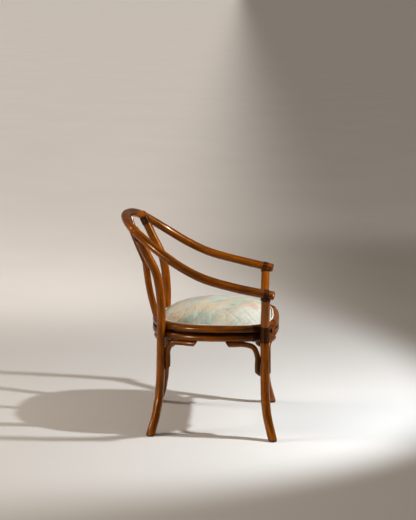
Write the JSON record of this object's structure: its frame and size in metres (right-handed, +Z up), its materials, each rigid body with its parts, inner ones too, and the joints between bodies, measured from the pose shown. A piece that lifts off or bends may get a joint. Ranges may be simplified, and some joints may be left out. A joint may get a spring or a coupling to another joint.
{
  "type": "rattan armchair",
  "caption": "Bent rattan armchair with splayed legs, a continuous hoop that forms the arms and the back, a forked splat, and a round domed seat pad on stacked rings.",
  "frame": {"origin": "on the floor, under the middle of the chair's box", "axes": "+Z up, -Y towards the chair's front, +X towards the sitter's left"},
  "size_m": [0.577, 0.6019, 0.8049],
  "materials": {
    "rattan": "varnished, glossy honey brown",
    "binding": "smooth dark rawhide strip",
    "seat_fabric": "printed cotton, pale washes",
    "piping": "plain cream piping",
    "plywood": "unfinished",
    "foot_cap": "matt dark",
    "screw_steel": "zinc plated"
  },
  "bodies": {
    "root": {"arm_hoop": "rattan", "front_leg_left": "rattan", "foot_cap_front_left": "foot_cap", "rear_leg_left": "rattan", "foot_cap_rear_left": "foot_cap", "front_leg_right": "rattan", "foot_cap_front_right": "foot_cap", "rear_leg_right": "rattan", "foot_cap_rear_right": "foot_cap", "seat_ring_upper": "rattan", "seat_ring_lower": "rattan", "ring_filler": "rattan", "back_trunk": "rattan", "back_branch_left": "rattan", "back_branch_right": "rattan", "brace_front_side_left": "rattan", "brace_rear_side_left": "rattan", "brace_front_left": "rattan", "brace_back_left": "rattan", "brace_front_side_right": "rattan", "brace_rear_side_right": "rattan", "brace_front_right": "rattan", "brace_back_right": "rattan", "seat_board": "plywood", "seat_rail_front": "plywood", "seat_rail_rear": "plywood", "board_screw_1": "screw_steel", "board_screw_2": "screw_steel", "board_screw_3": "screw_steel", "board_screw_4": "screw_steel", "seat_pad": "seat_fabric", "seat_piping": "piping", "binding_arm_left": "binding", "binding_arm_right": "binding", "binding_hoop_left": "binding", "binding_hoop_right": "binding", "binding_seat_left": "binding", "binding_seat_right": "binding"}
  },
  "joints": []
}
